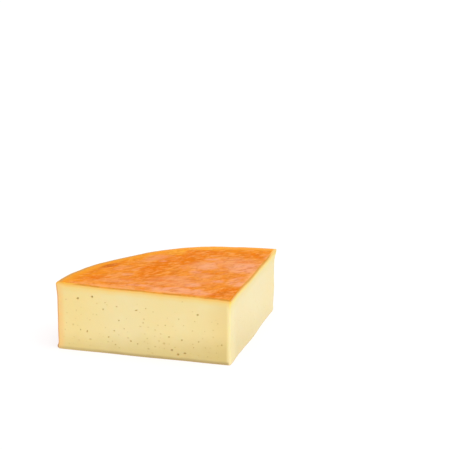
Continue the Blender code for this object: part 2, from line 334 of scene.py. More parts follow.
# cheeseSurface: the top from its middle out to the outline, down the wall, and the base back in.
# The first array gives each face's finish, 1 for the paste, which is the wall of the two cuts, or 0
def cheeseSurface():
    rounded = cutShare * cuts["edgeRadius"]
    zTop = settledEdge(wheel["rimHeight"], lambda x, y: topHeight(x, y) - rounded)
    zBase = settledEdge(0.0, lambda x, y: baseHeight(x, y) + rounded)
    down = stations(wheel["rimHeight"], mesh["wallStep"], True, True)[:, None]
    zWall = zTop + (zBase - zTop) * down
    plan = planAround(zWall)

    # cap: the rings of the top or the base, with the cuts' edge rounded by a quarter of a circle
    def cap(row, inner, heightAt, lift):
        x, y, inside = capRings(plan[:, row], inner)
        return x, y, heightAt(x, y) + lift * rounded * bend(1.0 - inside / cuts["edgeRadius"])

    top, base = cap(0, mesh["innerRings"], topHeight, -1.0), cap(-1, mesh["baseRings"], baseHeight, 1.0)
    x, y, z = (np.concatenate((rings[::-1], *others)) for rings, *others in zip(top, (*plan, zWall), base))
    middle = np.array(mesh["middle"])
    poles = [(*middle, float(height(*middle))) for height in (topHeight, baseHeight)]
    points, quads, triangles = closedShell(x, y, z, *poles)
    isPaste = np.zeros((len(x) - 1, columnEnds[-1]), dtype=bool)
    isPaste[len(top[0]) - 1 : len(top[0]) + len(zWall) - 1] = True
    isPaste[:, columnEnds[0] - 1 : columnEnds[1]] = False
    return np.concatenate((isPaste.ravel(), np.zeros(len(triangles)))), points, quads, triangles


eyes = {
    # clear ones of the south cut, in mm and degrees: (distance from the tip, height, length, width, tilt)
    "clear": (
        (153, 54, 2.9, 2.4, 30), (138, 57, 2.6, 2.4, 0), (127, 45, 2.0, 1.6, 60), (113, 49, 2.2, 1.1, -8),
        (93, 47, 3.1, 1.4, 15), (111, 35, 1.9, 1.6, 20), (151, 22, 1.9, 1.5, 60), (144, 21, 2.6, 1.7, 80),
        (116, 24, 1.9, 1.6, 0), (122, 17, 2.0, 1.7, 20), (115, 10, 2.1, 1.3, 0), (99, 15, 2.5, 1.7, -20),
        (92, 13, 1.9, 1.5, 0), (86, 35, 1.7, 1.3, 70), (31, 48, 2.4, 2.0, 0), (34, 41, 1.4, 1.1, 0),
        (50, 42, 1.6, 1.2, 10), (60, 23, 2.1, 1.7, 0), (47, 21, 2.0, 1.7, 30), (57, 10, 2.6, 2.2, 0),
        (51, 6, 2.8, 2.4, 0), (44, 8, 3.2, 1.8, 6), (30, 21, 1.8, 1.4, 70), (7, 20, 2.0, 1.6, 0),
    ),
    # paler ones between them
    "soft": (
        (165, 38, 1.8, 1.6, 0), (156, 33, 1.6, 1.3, 0), (134, 39, 1.9, 1.5, 0), (141, 33, 2.1, 1.5, 30),
        (123, 50, 1.8, 1.4, 0), (89, 31, 2.9, 1.5, -5), (81, 31, 2.2, 1.4, 0), (71, 34, 2.3, 1.3, -10),
        (158, 14, 1.9, 1.2, -30), (153, 11, 2.5, 1.3, -30), (141, 13, 3.1, 1.9, 5), (118, 13, 2.0, 1.5, 80),
        (111, 7, 2.1, 1.5, 0), (85, 16, 1.8, 1.5, 0), (70, 18, 2.0, 1.7, 0), (65, 16, 3.1, 2.2, 0),
        (74, 12, 2.7, 1.7, 20), (81, 9, 3.0, 1.9, 0), (77, 5, 2.4, 1.3, 0), (54, 13, 2.0, 1.6, 0),
        (36, 18, 2.3, 1.3, -8), (102, 18, 2.3, 1.9, 0), (17, 42, 1.6, 1.3, 0), (11, 41, 2.1, 1.7, 0),
        (46, 60, 1.9, 1.6, 0),
    ),
    "depth": 0.25,  # of the squeezed sphere, as a share of its size
    "softDepth": 0.11,
    "fine": {"south": 28, "east": 9},
    "fineSize": {"south": (0.001, 0.0016), "east": (0.0008, 0.0012)},
    "faint": {"south": 40, "east": 18},  # hardly opened by the wire: shallow dimples
    "faintSize": {"south": (0.0012, 0.0024), "east": (0.001, 0.0016)},
    "faintDepth": 0.1,
    "flattest": 0.6,  # the least width, as a share of the length
    "spacing": 0.0075,
    "faintSpacing": 0.00375,
    "margin": 0.006,
    "topMargin": 0.012,
    "crowding": 1.05,  # the chance of an eye at the base, less by 1 at the top
    "inset": 0.32,  # of the middle behind the cut, as a share of the depth
    "seed": 11,
    "rings": 8,
    "sides": 16,
    "lumps": (0.07, 0.042),  # of two and of three lobes
    "edgeClear": 0.002,  # no eye is coloured nearer than this to the top and the base
    "tipClear": 0.005,
}


# eyePlaces: random places over a cut, kept apart, more of them towards the base
def eyePlaces(side, kind, spacing, taken, rng):
    places = list(taken)
    while len(places) < len(taken) + eyes[kind][side]:
        along = rng.uniform(eyes["margin"], wheel["radius"] - eyes["margin"])
        height = rng.uniform(eyes["margin"], wheel["middleHeight"] - eyes["topMargin"])
        keep = rng.uniform() < eyes["crowding"] - height / wheel["middleHeight"]
        length = rng.uniform(*eyes[kind + "Size"][side])
        width = length * rng.uniform(eyes["flattest"], 1.0)
        tilt = rng.uniform(-90.0, 90.0)
        free = all(math.hypot(along - p[0], height - p[1]) > spacing for p in places)
        if keep and free:
            places.append((along, height, length, width, tilt))
    return places


# eyeShell: a sphere squeezed to length, width and depth, with soft lumps, and tilted in the cut's plane
def eyeShell(side, depth, along, height, length, width, tilt, number):
    down = math.pi * (np.arange(eyes["rings"])[:, None] + 1) / (eyes["rings"] + 1)
    turn = fullTurn * np.arange(eyes["sides"])[None, :] / eyes["sides"]
    two, three = eyes["lumps"]
    lump = 1.0 + two * np.sin(2 * turn + number) * np.sin(down) + three * np.sin(3 * turn - 2 * number)
    bulge = lump * np.sin(down)
    size = depth * math.sqrt(length * width)
    middle = float(cutOffset(side, along, height)) - eyes["inset"] * size

    # placed: x, y and z of places across, up and deep in the eye
    def placed(across, up, deep):
        across, up = turned(across, up, -tilt)
        if side == "south":
            return across - along, deep - middle, height + up
        return middle - deep, along + across, height + up

    ends = placed(0.0, 0.5 * width, 0.0), placed(0.0, -0.5 * width, 0.0)
    across, up = 0.5 * length * bulge * np.cos(turn), 0.5 * width * np.cos(down) * np.ones_like(turn)
    return closedShell(*placed(across, up, size * bulge * np.sin(turn)), *ends)


# eyeShells: every eye of both cuts, joined into one set of points and faces, all with the paste's finish
def eyeShells():
    rng = np.random.default_rng(eyes["seed"])
    clear, soft = (
        [(*(mm * size for size in inMm), tilt) for *inMm, tilt in eyes[kind]] for kind in ("clear", "soft")
    )
    sharp = {"south": eyePlaces("south", "fine", eyes["spacing"], clear, rng)}
    sharp["east"] = eyePlaces("east", "fine", eyes["spacing"], [], rng)
    between = {"south": soft, "east": []}
    shells = []
    for side in ("south", "east"):
        every = eyePlaces(side, "faint", eyes["faintSpacing"], sharp[side] + between[side], rng)
        depths = [eyes["depth"]] * len(sharp[side]) + [eyes["softDepth"]] * len(between[side])
        depths += [eyes["faintDepth"]] * eyes["faint"][side]
        shells += [eyeShell(side, depth, *eye, i) for i, (depth, eye) in enumerate(zip(depths, every))]
    print("eyes:", len(shells))
    points, quads, triangles = zip(*shells)
    starts = np.cumsum([0] + [len(shell) for shell in points])
    quads, triangles = (
        np.concatenate([faces + start for faces, start in zip(kind, starts)]) for kind in (quads, triangles)
    )
    return np.ones(len(quads) + len(triangles)), np.concatenate(points), quads, triangles


# newMesh: puts arrays of points, quads and triangles into a mesh, with a finish, 0 or 1, for each face
def newMesh(name, finish, points, quads, triangles):
    data = bpy.data.meshes.new(name)
    data.vertices.add(len(points))
    data.vertices.foreach_set("co", points.ravel())
    corners = np.concatenate((quads.ravel(), triangles.ravel())).astype(np.int32)
    sizes = np.concatenate((np.full(len(quads), 4), np.full(len(triangles), 3)))
    data.loops.add(len(corners))
    data.loops.foreach_set("vertex_index", corners)
    data.polygons.add(len(sizes))
    data.polygons.foreach_set("loop_start", (np.cumsum(sizes) - sizes).astype(np.int32))
    data.polygons.foreach_set("material_index", finish.astype(np.int32))
    data.update(calc_edges=True)
    data.validate()
    return data


# addObject: data as an object of the scene, with its materials
def addObject(name, data, materials=()):
    obj = bpy.data.objects.new(name, data)
    scene.collection.objects.link(obj)
    for mat in materials:
        data.materials.append(mat)
    return obj


# srgb: a colour as it is seen, from 0 to 255, made linear
def srgb(red, green, blue):
    seen = np.array((red, green, blue)) / 255.0
    linear = np.where(seen <= 0.04045, seen / 12.92, ((seen + 0.055) / 1.055) ** 2.4)
    return (*linear.tolist(), 1.0)


white = (1.0, 1.0, 1.0, 1.0)
origin = (0.0, 0.0, 0.0)
plain = (1.0, 1.0, 1.0)  # a pattern that isn't stretched


# connect: an input given as a socket is linked, any other value is set
def connect(tree, node, inputs):
    for name, value in inputs.items():
        if isinstance(value, bpy.types.NodeSocket):
            tree.links.new(value, node.inputs[name])
        else:
            node.inputs[name].default_value = value


# put: a node with its settings and inputs
def put(tree, kind, inputs=None, **settings):
    node = tree.nodes.new(kind)
    for name, value in settings.items():
        setattr(node, name, value)
    connect(tree, node, inputs or {})
    return node


# calculate: the result of one Math node
def calculate(tree, operation, *values):
    return put(tree, "ShaderNodeMath", dict(enumerate(values)), operation=operation).outputs[0]


# product: masks multiplied together
def product(tree, mask, *others):
    for other in others:
        mask = calculate(tree, "MULTIPLY", mask, other)
    return mask


# ramp: a value between two levels carried to between two others, in a straight line or by a smooth step
def ramp(tree, value, low, high, start=0.0, end=1.0, kind="LINEAR"):
    levels = {"Value": value, "From Min": low, "From Max": high, "To Min": start, "To Max": end}
    return put(tree, "ShaderNodeMapRange", levels, interpolation_type=kind).outputs[0]


# newGroup: a node group, with numbers and vectors as inputs, by name, and numbers as outputs
def newGroup(name, inputs, outputs):
    group = bpy.data.node_groups.new(name, "ShaderNodeTree")
    for socketName, value in inputs.items():
        kind = "NodeSocketFloat" if isinstance(value, float) else "NodeSocketVector"
        group.interface.new_socket(socketName, in_out="INPUT", socket_type=kind).default_value = value
    for socketName in outputs:
        group.interface.new_socket(socketName, in_out="OUTPUT", socket_type="NodeSocketFloat")
    return group, group.nodes.new("NodeGroupInput").outputs, group.nodes.new("NodeGroupOutput").inputs


# stretchedNoise: the noise of a group's vector times its stretch
def stretchedNoise(group, given, detail, roughness):
    inputs = {0: given["Vector"], 1: given["Stretch"]}
    stretched = put(group, "ShaderNodeVectorMath", inputs, operation="MULTIPLY").outputs[0]
    inputs = {"Vector": stretched, "Scale": given["Scale"], "Detail": detail, "Roughness": roughness}
    return put(group, "ShaderNodeTexNoise", inputs).outputs["Fac"]


# mottleGroup: noise on stretched coordinates, and the mask that it makes between two levels
def mottleGroup():
    inputs = {"Vector": origin, "Stretch": plain, "Scale": 50.0, "Detail": 3.0, "Low": 0.4, "High": 0.6}
    group, given, out = newGroup("mottle", inputs, ("Mask", "Noise"))
    noise = stretchedNoise(group, given, given["Detail"], roughness=0.55)
    group.links.new(ramp(group, noise, given["Low"], given["High"], kind="SMOOTHSTEP"), out["Mask"])
    group.links.new(noise, out["Noise"])
    return group


# bandGroup: 1 up to a depth and 0 past another, with the depth pushed about by a noise
def bandGroup():
    inputs = {"Depth": 0.0, "Wobble": 0.5, "Push": 0.001, "Full": 0.001, "Gone": 0.004}
    group, given, out = newGroup("band", inputs, ("Mask",))
    centred = calculate(group, "SUBTRACT", given["Wobble"], 0.5)
    pushed = calculate(group, "MULTIPLY_ADD", centred, given["Push"], given["Depth"])
    group.links.new(ramp(group, pushed, given["Full"], given["Gone"], 1.0, 0.0, "SMOOTHSTEP"), out["Mask"])
    return group


# skinGroup: fine uneven skin: a height for bump, from a coarse noise and a share of a finer one, and a
# roughness that follows the coarse one between its usual levels
def skinGroup():
    finer, fineShare, usual = 4.3, 0.25, (0.3, 0.7)
    inputs = {"Vector": origin, "Stretch": plain, "Scale": 400.0, "Smoothest": 0.4, "Roughest": 0.6}
    group, given, out = newGroup("skin", inputs, ("Height", "Roughness"))
    coarse = stretchedNoise(group, given, detail=4.0, roughness=0.5)
    fineScale = calculate(group, "MULTIPLY", given["Scale"], finer)
    inputs = {"Vector": given["Vector"], "Scale": fineScale, "Detail": 2.0}
    fine = put(group, "ShaderNodeTexNoise", inputs).outputs["Fac"]
    group.links.new(calculate(group, "MULTIPLY_ADD", fine, fineShare, coarse), out["Height"])
    group.links.new(ramp(group, coarse, *usual, given["Smoothest"], given["Roughest"]), out["Roughness"])
    return group


groups = {"mottle": mottleGroup(), "band": bandGroup(), "skin": skinGroup()}


# putGroup: one of the groups as a node with its inputs, and what it gives
def putGroup(tree, name, inputs):
    return put(tree, "ShaderNodeGroup", inputs, node_tree=groups[name]).outputs


# layer: one colour laid over another by a mask, times a strength
def layer(tree, under, over, mask, strength=1.0):
    if strength != 1.0:
        mask = calculate(tree, "MULTIPLY", mask, strength)
    inputs = {0: mask, 6: under, 7: over}  # factor, A and B of its colour sockets
    return put(tree, "ShaderNodeMix", inputs, data_type="RGBA").outputs[2]


# carried: what the mesh carries under a name
def carried(tree, name):
    return put(tree, "ShaderNodeAttribute", attribute_name=name, attribute_type="GEOMETRY").outputs


# carriedParts: the three numbers that the mesh carries under a name
def carriedParts(tree, name):
    return put(tree, "ShaderNodeSeparateXYZ", {0: carried(tree, name)["Vector"]}).outputs


# painter: a material's colours, which it may replace by mixed ones, and ways to lay them over each other by
# mottles: (colour, strength, and a mottle's coordinates, scale, low, high, stretch, detail),
# bands: (strength, push of the wobble, full to this depth, gone past it), and
# levels of straight ramps: (low, high), and what they lead from and to where that isn't 0 and 1
def painter(tree, values, vectors):
    colours = {name: srgb(*seen) for name, seen in values["colours"].items()}

    # mottle: the mottle group on the coordinates of a name
    def mottle(coordinates, scale, low=0.4, high=0.6, stretch=plain, detail=3.0):
        inputs = {"Vector": vectors[coordinates], "Stretch": stretch, "Scale": scale, "Detail": detail}
        return putGroup(tree, "mottle", {**inputs, "Low": low, "High": high})

    wobble = mottle(*values["wobble"])["Noise"]

    # between: a ramp between the levels of a name
    def between(value, name):
        return ramp(tree, value, *values["levels"][name])

    # near: the mask of a named band, where other masks allow it
    def near(name, depth, *masks):
        _, push, full, gone = values["bands"][name]
        inputs = {"Depth": depth, "Wobble": wobble, "Push": push, "Full": full, "Gone": gone}
        return product(tree, putGroup(tree, "band", inputs)["Mask"], *masks)

    # lay: rows of (name, depth, further masks), each a colour over those before it by its band
    def lay(colour, *rows):
        for name, *masks in rows:
            colour = layer(tree, colour, colours[name], near(name, *masks), values["bands"][name][0])
        return colour

    # mottled: the colours of a table of mottles over each other
    def mottled(colour, table, *masks):
        for name, strength, *numbers in values["mottles"][table]:
            mask = product(tree, mottle(*numbers)["Mask"], *masks)
            colour = layer(tree, colour, colours[name], mask, strength)
        return colour

    return colours, mottle, between, near, lay, mottled


# newMaterial: a material with its tree, its shader and the Object coordinates
def newMaterial(name):
    mat = bpy.data.materials.new(name)
    mat.use_nodes = True
    tree = mat.node_tree
    return mat, tree, tree.nodes["Principled BSDF"], tree.nodes.new("ShaderNodeTexCoord").outputs["Object"]


# finishShader: the base colour, uneven skin in roughness and bump, and the plain values of a finish
def finishShader(tree, shader, colour, vector, values):
    skin = putGroup(tree, "skin", {"Vector": vector, **values["skin"]})
    normal = put(tree, "ShaderNodeBump", {"Height": skin["Height"], **values["bump"]}).outputs["Normal"]
    inputs = {"Base Color": colour, "Roughness": skin["Roughness"], "Normal": normal}
    connect(tree, shader, {**inputs, **values["shader"]})


paste = {
    "colours": {
        # painted light among these: the east cut's paler colour and the tip's highlight; painted shade: the
        # darker colours towards the base, the foot's line in part, and the eyes' colour
        "colour": (244, 225, 167), "warm": (248, 220, 143), "pale": (247, 230, 176),
        "eastPaintedLight": (246, 231, 187), "tipShade": (240, 211, 138), "ridge": (254, 236, 172),
        "cutRind": (240, 160, 32), "cutRindDark": (220, 143, 18), "cutRindEast": (221, 158, 22),
        "cutRindTip": (230, 149, 20), "cutRindEnd": (250, 200, 100), "cutRindLeft": (252, 189, 64),
        "underRind": (252, 197, 88), "underRindEast": (253, 202, 73), "yellow": (250, 212, 124),
        "yellowEast": (255, 224, 114), "broadEast": (248, 224, 140), "peach": (250, 203, 124),
        "heelRind": (226, 160, 96), "heelFoot": (176, 128, 82), "lower": (216, 191, 117),
        "lowerEast": (231, 210, 151), "foot": (170, 144, 88), "eye": (202, 171, 94),
    },
    "eastPaintedLightShare": 0.5,
    "eastRindShare": 0.9,
    "shadeTowardsBaseRise": 0.08,  # how fast the painted shade at the foot of the cuts sinks on the way to the heel
    "shadeTowardsBaseRiseEast": 0.2,
    "wobble": ("object", 60.0),
    "mottles": {
        "field": (("warm", 0.4, "object", 14.0, 0.35, 0.65), ("pale", 0.35, "object", 45.0, 0.45, 0.75)),
        "cutRind": (("cutRindDark", 1.0, "object", 70.0, 0.42, 0.6),),
    },
    "bands": {
        "warm": (0.7, 0.02, 0.012, 0.07), "tipShade": (0.6, 0.004, 0.004, 0.03),
        "lower": (0.75, 0.01, 0.005, 0.036), "lowerEast": (0.9, 0.012, 0.008, 0.052),
        "ridge": (0.5, 0.001, 0.0012, 0.0026), "ridgeEast": (0.5, 0.004, 0.004, 0.03),
        "broadEast": (0.6, 0.006, 0.005, 0.02), "yellow": (0.8, 0.004, 0.003, 0.01),
        "underRind": (0.9, 0.002, 0.0018, 0.005), "peach": (0.75, 0.001, 0.0026, 0.009),
        "foot": (0.75, 0.001, 0.0006, 0.0042), "heelRind": (0.9, 0.0004, 0.0007, 0.0017),
        "heelFoot": (0.9, 0.0005, 0.0035, 0.006), "cutRind": (1.0, 0.0014, 0.001, 0.0024),
    },
    "levels": {
        "south": (0.0006, 0.0022), "inward": (0.115, 0.158, 1.0, 0.6), "offTip": (0.03, 0.07),
        "farEnd": (0.132, 0.158), "leftEnd": (0.15, 0.161, 0.0, 0.9), "eye": (0.00003, 0.0007),
    },
    "skin": {"Stretch": (0.35, 0.35, 1.0), "Scale": 420.0, "Smoothest": 0.42, "Roughest": 0.58},
    "bump": {"Strength": 0.35, "Distance": 0.0003},
    "shader": {
        "Specular IOR Level": 0.5, "Subsurface Weight": 0.3,
        "Subsurface Radius": (1.0, 0.65, 0.3), "Subsurface Scale": 0.003,
    },
}


# pasteMaterial: pale paste, then bands by depth under the rind of the top, the heel and the base, with
# painted light and shade: the east cut paler, a highlight at the tip, shade towards the base and in the eyes
def pasteMaterial():
    mat, tree, shader, where = newMaterial("cheesePaste")
    colours, _, between, near, lay, mottled = painter(tree, paste, {"object": where})
    depth, behind = carriedParts(tree, "crust"), carriedParts(tree, "behind")
    under, fromHeel, up, fromTip = depth["X"], depth["Y"], depth["Z"], behind["Z"]
    onSouth = between(behind["X"], "south")
    onEast = calculate(tree, "SUBTRACT", 1.0, onSouth)

    # the rind's own cut edge, and colours that differ between the cuts
    cutRind = mottled(colours["cutRind"], "cutRind")
    eastRind = layer(tree, colours["cutRindTip"], colours["cutRindEast"], between(fromTip, "offTip"))
    cutRind = layer(tree, cutRind, eastRind, onEast, paste["eastRindShare"])
    farEnd = product(tree, between(fromTip, "farEnd"), onEast)
    leftEnd = product(tree, between(fromTip, "leftEnd"), onSouth)
    cutRind = layer(tree, cutRind, colours["cutRindEnd"], farEnd)
    colours["cutRind"] = layer(tree, cutRind, colours["cutRindLeft"], leftEnd)
    for name in ("yellow", "underRind"):
        colours[name] = layer(tree, colours[name], colours[name + "East"], onEast)
    # the east cut's painted highlight by the tip has the tip's colour
    colours["ridgeEast"] = colours["ridge"]

    colour = mottled(colours["colour"], "field")
    colour = lay(colour, ("warm", fromHeel), ("tipShade", fromTip, onSouth))
    # the east cut painted paler: painted light from the right
    colour = layer(tree, colour, colours["eastPaintedLight"], onEast, paste["eastPaintedLightShare"])
    colour = lay(
        colour,
        # painted shade towards the base of the cuts, over less of their height near the heel
        ("lower", calculate(tree, "MULTIPLY_ADD", fromTip, paste["shadeTowardsBaseRise"], up), onSouth),
        ("lowerEast", calculate(tree, "MULTIPLY_ADD", fromTip, paste["shadeTowardsBaseRiseEast"], up), onEast),
        # a painted highlight on the tip's rounded edge, spread onto the east cut near the tip
        ("ridge", fromTip),
        ("ridgeEast", fromTip, onEast),
        ("broadEast", under, onEast),
        ("yellow", under),
        ("underRind", under),
        ("peach", fromHeel, onSouth),
        # the base rind's line along the south cut's foot, darkened by painted contact shade
        ("foot", up, between(fromTip, "inward"), onSouth),
        ("heelRind", fromHeel, onSouth),
        ("heelFoot", up, near("heelRind", fromHeel, onSouth)),
        ("cutRind", under),
    )
    # painted shade in the eyes' hollows, by how deep a point lies in an eye
    colour = layer(tree, colour, colours["eye"], between(carried(tree, "eyeDepth")["Fac"], "eye"))
    finishShader(tree, shader, colour, where, paste)
    return mat


rind = {
    "colours": {
        # the salmon colour is partly, the pink wholly, a painted sheen of the moist rind
        "orange": (236, 143, 55), "golden": (237, 140, 41), "salmonSheen": (238, 147, 84),
        "deep": (229, 117, 14), "dark": (196, 98, 22), "pinkSheen": (240, 161, 118), "ring": (238, 138, 30),
        # the edge colours: a golden painted highlight on the shoulder, painted shade over its left part and
        # crest
        "edge": (250, 168, 70), "edgeLeft": (238, 152, 42), "edgeDark": (206, 154, 86),
        # the first colour here is a painted highlight along the cuts
        "cutEdge": (247, 174, 110), "cutLine": (214, 154, 62), "cutLineTip": (222, 134, 28),
        "light": (252, 175, 64), "speck": (190, 96, 30), "grainDark": (212, 112, 30),
        "grainLight": (252, 176, 98), "smear": (250, 200, 120), "side": (226, 100, 38),
        "sideRed": (208, 62, 34), "sideLine": (172, 50, 26), "sideLight": (240, 132, 44),
        "sideCrease": (150, 46, 26), "sideTop": (250, 158, 54), "sideFoot": (176, 84, 42),
        "base": (204, 160, 98), "baseDark": (180, 130, 74),
    },
    "rimShadeLeftShare": 0.8,
    "creaseShare": 0.5,
    "sway": 0.012,  # how far the brush strokes wander
    "swayScale": 22.0,
    "wobble": ("object", 40.0),
    "mottles": {
        "field": (
            ("golden", 0.7, "brushed", 30.0, 0.4, 0.6, (0.6, 1.0, 1.0)),
            ("deep", 0.5, "brushed", 110.0, 0.46, 0.66, (0.5, 1.0, 1.0), 6.0),
            # mottles of painted sheen
            ("pinkSheen", 0.45, "brushed", 140.0, 0.5, 0.72, (0.5, 1.0, 1.0), 6.0),
        ),
        "grain": (
            ("grainDark", 0.4, "swayed", 210.0, 0.48, 0.68, (0.9, 0.5, 1.0), 5.0),
            ("grainLight", 0.35, "swayed", 230.0, 0.5, 0.7, (0.9, 0.5, 1.0), 5.0),
        ),
        "strokes": (("grainDark", 0.66, "brushed", 260.0, 0.46, 0.68, (0.3, 1.0, 1.0), 5.0),),
        "scratches": (
            ("grainLight", 0.52, "brushed", 290.0, 0.48, 0.7, (0.35, 1.0, 1.0), 5.0),
            ("speck", 0.4, "object", 210.0, 0.66, 0.76),
        ),
        "edge": (("ring", 0.6, "object", 42.0, 0.46, 0.66),),
        # broad soft fields and blotches, then upright lines
        "side": (
            ("sideLight", 0.9, "object", 13.0, 0.4, 0.62, (1.0, 1.0, 0.4)),
            ("sideRed", 0.8, "swayed", 30.0, 0.45, 0.64, (1.0, 1.0, 0.3), 5.0),
            ("sideLight", 0.45, "swayed", 80.0, 0.5, 0.74, (1.0, 1.0, 0.4), 5.0),
            ("sideLine", 0.5, "object", 130.0, 0.5, 0.7, (1.0, 1.0, 0.05), 5.0),
            ("sideLine", 0.4, "object", 420.0, 0.54, 0.72, (1.0, 1.0, 0.05)),
        ),
        "sideTop": (("sideLight", 0.7, "swayed", 50.0, 0.42, 0.66, (1.0, 1.0, 0.5), 5.0),),
        "base": (("baseDark", 0.7, "object", 60.0, 0.4, 0.65, plain, 6.0),),
    },
    "ragged": ("object", 55.0, 0.38, 0.6),
    "creaseLine": ("swayed", 36.0, 0.4, 0.6, (1.0, 1.0, 0.22), 5.0),
    "creaseGaps": ("object", 18.0, 0.54, 0.64, (1.0, 1.0, 0.3)),
    "bands": {
        "ring": (0.85, 0.024, 0.016, 0.042), "edgeLeft": (0.6, 0.012, 0.006, 0.024),
        "cutEdge": (0.7, 0.006, 0.002, 0.008), "offHeel": (1.0, 0.004, 0.148, 0.162),
        "edge": (0.85, 0.01, 0.007, 0.015), "edgeDark": (0.85, 0.002, 0.0036, 0.0068),
        "cutLine": (0.85, 0.0006, 0.0007, 0.0018), "smear": (1.0, 0.001, 0.0012, 0.0028),
        "sideTop": (0.9, 0.013, 0.002, 0.008), "sideFoot": (0.8, 0.002, 0.002, 0.006),
    },
    "levels": {
        "leftward": (0.075, 0.14), "dark": (1.55, 2.1), "drier": (0.0, 1.0, 1.0, 0.55),
        "offTip": (0.022, 0.05), "inside": (0.001, 0.0024), "outer": (0.146, 0.164),
        "crease": (0.0, 0.009, 1.0, 0.0), "side": (0.0015, 0.005), "base": (0.003, 0.0004),
        "moistCoat": (0.0, 1.0, 0.0, 0.4),
    },
    # patches show as their own strength and a share of a noise go from low to high: (strength, low, high)
    "patchLevels": {
        "light": (0.8, 0.85, 1.9), "salmonSheen": (0.9, 0.75, 1.8), "deep": (0.85, 0.85, 1.9),
        "dark": (0.85,),  # the deepest parts of the deep patches
        "pinkSheen": (0.9, 0.95, 2.0),
    },
    "breaking": ("brushed", 90.0, 0.4, 0.6, (0.5, 1.0, 1.0), 6.0),
    "breakingShare": 1.6,
    "skin": {"Stretch": (0.4, 1.0, 1.0), "Scale": 300.0, "Smoothest": 0.4, "Roughest": 0.6},
    "bump": {"Strength": 0.5, "Distance": 0.0004},
    "shader": {
        "Specular IOR Level": 0.0, "Coat Roughness": 0.45, "Subsurface Weight": 0.12,
        "Subsurface Radius": (1.0, 0.4, 0.15), "Subsurface Scale": 0.002,
    },
}


# rindMaterial: orange skin with soft salmon and deep patches and brushed streaks, golden round the rim;
# the salmon patches partly, the pink ones wholly, are a painted sheen, the shoulder a painted highlight;
# the round side is deeper and carries the cloth band's upright stripes, the base is brown
def rindMaterial():
    mat, tree, shader, where = newMaterial("washedRind")
    noise = put(tree, "ShaderNodeTexNoise", {"Vector": where, "Scale": rind["swayScale"], "Detail": 2.0})
    inputs = {0: noise.outputs["Color"], 1: (0.5, 0.5, 0.5)}
    centred = put(tree, "ShaderNodeVectorMath", inputs, operation="SUBTRACT").outputs[0]
    inputs = {0: centred, 1: (rind["sway"],) * 3, 2: where}
    swayed = put(tree, "ShaderNodeVectorMath", inputs, operation="MULTIPLY_ADD").outputs[0]
    inputs = {"Vector": swayed, "Angle": -math.radians(wheel["brushHeading"])}
    brushed = put(tree, "ShaderNodeVectorRotate", inputs).outputs[0]
    vectors = {"object": where, "swayed": swayed, "brushed": brushed}
    colours, mottle, between, near, lay, mottled = painter(tree, rind, vectors)
    depth, behind, tone = (carriedParts(tree, name) for name in ("crust", "behind", "tones"))
    fromRim, fromSouth, fromTip = depth["Y"], behind["X"], behind["Z"]

    leftward, offTip = between(fromSouth, "leftward"), between(fromTip, "offTip")
    # the shoulder's painted highlight, in painted shade towards the left
    edge = layer(tree, colours["edge"], colours["edgeLeft"], leftward, rind["rimShadeLeftShare"])
    colours["edge"] = mottled(edge, "edge")
    colours["cutLine"] = layer(tree, colours["cutLineTip"], colours["cutLine"], offTip)
    colours["sideTop"] = mottled(colours["sideTop"], "sideTop")

    colour = mottled(colours["orange"], "field")
    # the golden ring, and painted shade near the rim on the left
    colour = lay(colour, ("ring", fromRim), ("edgeLeft", fromRim, leftward))
    breaking = mottle(*rind["breaking"])["Noise"]
    # the salmon patches are partly, the pink ones wholly, a painted sheen of the moist rind
    tones = {"salmonSheen": tone["X"], "deep": tone["Y"], "pinkSheen": tone["Z"]}
    tones["light"] = carried(tree, "light")["Fac"]
    masks = {"dark": between(tone["Y"], "dark")}
    for kind, (strength, *levels) in rind["patchLevels"].items():
        if levels:
            raised = calculate(tree, "MULTIPLY_ADD", breaking, rind["breakingShare"], tones[kind])
            masks[kind] = ramp(tree, raised, *levels, kind="SMOOTHSTEP")
        colour = layer(tree, colour, colours[kind], masks[kind], strength)
    colour = mottled(colour, "grain")
    colour = mottled(colour, "strokes", between(masks["salmonSheen"], "drier"))
    colour = mottled(colour, "scratches")

    # painted highlights along the cuts and on the golden shoulder, with painted shade to the left and at its
    # crest
    ragged = mottle(*rind["ragged"])["Mask"]
    nearCut = calculate(tree, "MINIMUM", fromSouth, behind["Y"])
    colour = lay(
        colour,
        # a painted highlight along the cuts
        ("cutEdge", nearCut, ragged, offTip, near("offHeel", fromTip)),
        ("edge", fromRim),
        ("edgeDark", fromRim, between(fromRim, "inside"), leftward),
        ("cutLine", fromSouth),
        ("smear", fromSouth, between(fromTip, "outer")),
    )

    # the side, with creases along the middle level of a noise, and the base
    side = mottled(colours["side"], "side")
    offLine = calculate(tree, "SUBTRACT", mottle(*rind["creaseLine"])["Noise"], 0.5)
    onLine = between(calculate(tree, "ABSOLUTE", offLine), "crease")
    crease = product(tree, onLine, mottle(*rind["creaseGaps"])["Mask"])
    side = layer(tree, side, colours["sideCrease"], crease, rind["creaseShare"])
    side = lay(side, ("sideTop", depth["X"]), ("sideFoot", depth["Z"]))
    colour = layer(tree, colour, side, between(depth["X"], "side"))
    colour = layer(tree, colour, mottled(colours["base"], "base"), between(depth["Z"], "base"))
    finishShader(tree, shader, colour, brushed, rind)
    connect(tree, shader, {"Coat Weight": between(masks["salmonSheen"], "moistCoat")})
    return mat


# crustDepths: how deep each point lies under the top, inside the heel and over the base
def crustDepths(points):
    x, y, z = points.T
    rim = heelRadius(z, np.arctan2(y, x) % fullTurn)
    return np.stack((topHeight(x, y) - z, rim - np.hypot(x, y), z), axis=-1)


# cutDepths: how deep each point lies behind the east and the south cut, and its distance from the axis
def cutDepths(points):
    x, y, z = points.T
    return np.stack((cutOffset("east", y, z) - x, cutOffset("south", -x, z) + y, np.hypot(x, y)), axis=-1)


# eyeDepths: how deep each point lies in an eye, behind the nearer cut, and nothing near the rounded edges
def eyeDepths(crust, behind):
    offEdges = crust[:, ::2].min(axis=1) > eyes["edgeClear"]
    offTip = behind[:, 2] > eyes["tipClear"]
    return np.where(offEdges & offTip, behind[:, :2].min(axis=1), 0.0)


